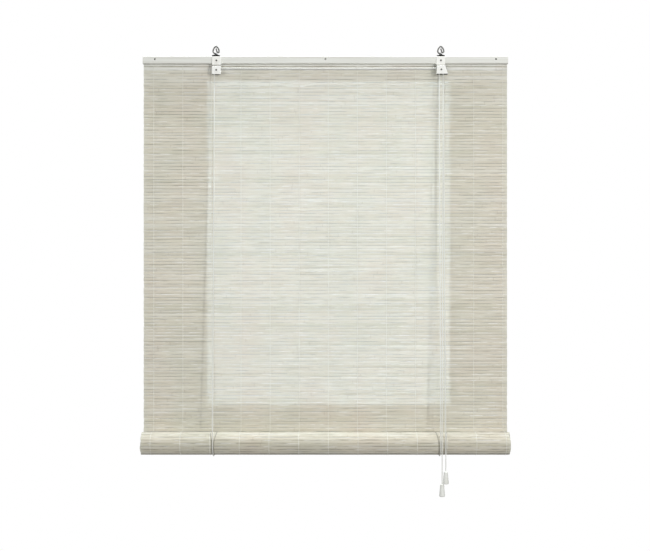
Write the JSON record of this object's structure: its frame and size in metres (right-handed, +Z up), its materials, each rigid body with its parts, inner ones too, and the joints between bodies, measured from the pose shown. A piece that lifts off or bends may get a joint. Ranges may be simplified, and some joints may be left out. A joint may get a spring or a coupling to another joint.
{
  "type": "bamboo roll up blind",
  "caption": "Half-raised bamboo roll up blind: woven slats under a white headrail, roll at the foot, lifting cords over pulleys, cord lock and tassels.",
  "frame": {"origin": "middle screw hole of the headrail, on the wall plane", "axes": "+Z up, +Y into the wall, +X to the right seen from the room"},
  "size_m": [0.9, 0.0719, 1.1021],
  "materials": {
    "painted_batten": "white painted wood with a fine brushed grain",
    "bamboo": "white-washed split bamboo, satin, with streaky grain",
    "warp_string": "thin twisted cotton string",
    "cord": "white braided cord",
    "case_enamel": "cream white enamel on folded sheet steel",
    "zinc_steel": "zinc plated steel, dulled",
    "dark_washer": "black domed washer",
    "pulley_plastic": "white moulded wheel",
    "tassel_plastic": "off-white moulded bell"
  },
  "bodies": {
    "headrail_unit": {"headrail": "painted_batten", "rear_lath": "painted_batten", "lath_brads": "zinc_steel", "bamboo_mat": "bamboo", "warp_strings": "warp_string", "left_hanging_hook": "zinc_steel", "right_hanging_hook": "zinc_steel", "left_hook_washer": "dark_washer", "right_hook_washer": "dark_washer", "left_pulley_case": "case_enamel", "cord_lock_case": "case_enamel", "case_screws": "zinc_steel", "left_axle_pin": "zinc_steel", "lock_axle_pin": "zinc_steel", "left_cord_crossing": "cord", "right_cord_bend": "cord", "left_front_cord": "cord", "right_front_cord": "cord", "left_rear_cord": "cord", "right_rear_cord": "cord", "left_stop_knot": "cord", "right_stop_knot": "cord", "left_pull_cord": "cord", "right_pull_cord": "cord"},
    "cord_slings": {"left_cord_sling": "cord", "right_cord_sling": "cord", "left_cord_tail": "cord", "right_cord_tail": "cord"},
    "roll": {"rolled_mat": "bamboo", "bottom_stick": "bamboo"},
    "left_pulley": {"left_pulley_wheel": "pulley_plastic"},
    "lock_rear_pulley": {"lock_rear_wheel": "pulley_plastic"},
    "lock_front_pulley": {"lock_front_wheel": "pulley_plastic"},
    "lock_wedge": {"locking_roller": "zinc_steel"},
    "left_bell": {"left_tassel": "tassel_plastic", "left_tassel_knot": "cord"},
    "right_bell": {"right_tassel": "tassel_plastic", "right_tassel_knot": "cord"}
  },
  "joints": [
    {"name": "roll_lift", "type": "slide", "parent": "headrail_unit", "child": "cord_slings", "axis": [0, 0, 1], "range_m": [0, 0.85], "deforming": ["bamboo_mat", "warp_strings", "left_front_cord", "right_front_cord", "left_rear_cord", "right_rear_cord", "left_pull_cord", "right_pull_cord"]},
    {"name": "roll_turn", "type": "hinge", "parent": "cord_slings", "child": "roll", "pos_m": [0, -0.03416, -0.943], "axis": [1, 0, 0], "range_deg": [-1440.5, 0]},
    {"name": "left_pulley_turn", "type": "hinge", "parent": "headrail_unit", "child": "left_pulley", "pos_m": [-0.268, -0.0244, -0.028], "axis": [0, 1, 0], "continuous": true},
    {"name": "lock_rear_pulley_turn", "type": "hinge", "parent": "headrail_unit", "child": "lock_rear_pulley", "pos_m": [0.284, -0.0244, -0.028], "axis": [0, 1, 0], "continuous": true},
    {"name": "lock_front_pulley_turn", "type": "hinge", "parent": "headrail_unit", "child": "lock_front_pulley", "pos_m": [0.284, -0.0297, -0.028], "axis": [0, 1, 0], "continuous": true},
    {"name": "lock_release", "type": "slide", "parent": "headrail_unit", "child": "lock_wedge", "axis": [0.3872, 0, -0.922], "range_m": [0, 0.0045]},
    {"name": "left_bell_pull", "type": "slide", "parent": "cord_slings", "child": "left_bell", "axis": [0, 0, -1], "range_m": [0, 2.55], "deforming": ["left_cord_tail"]},
    {"name": "right_bell_pull", "type": "slide", "parent": "cord_slings", "child": "right_bell", "axis": [0, 0, -1], "range_m": [0, 2.55], "deforming": ["right_cord_tail"]}
  ],
  "couplings": [
    {"joint": "roll_turn", "follows": "roll_lift", "rad_per_m": -29.568},
    {"joint": "left_pulley_turn", "follows": "roll_lift", "rad_per_m": 400},
    {"joint": "lock_rear_pulley_turn", "follows": "roll_lift", "rad_per_m": 400},
    {"joint": "lock_front_pulley_turn", "follows": "roll_lift", "rad_per_m": 400},
    {"joint": "left_bell_pull", "follows": "roll_lift", "ratio": 3},
    {"joint": "right_bell_pull", "follows": "roll_lift", "ratio": 3}
  ]
}
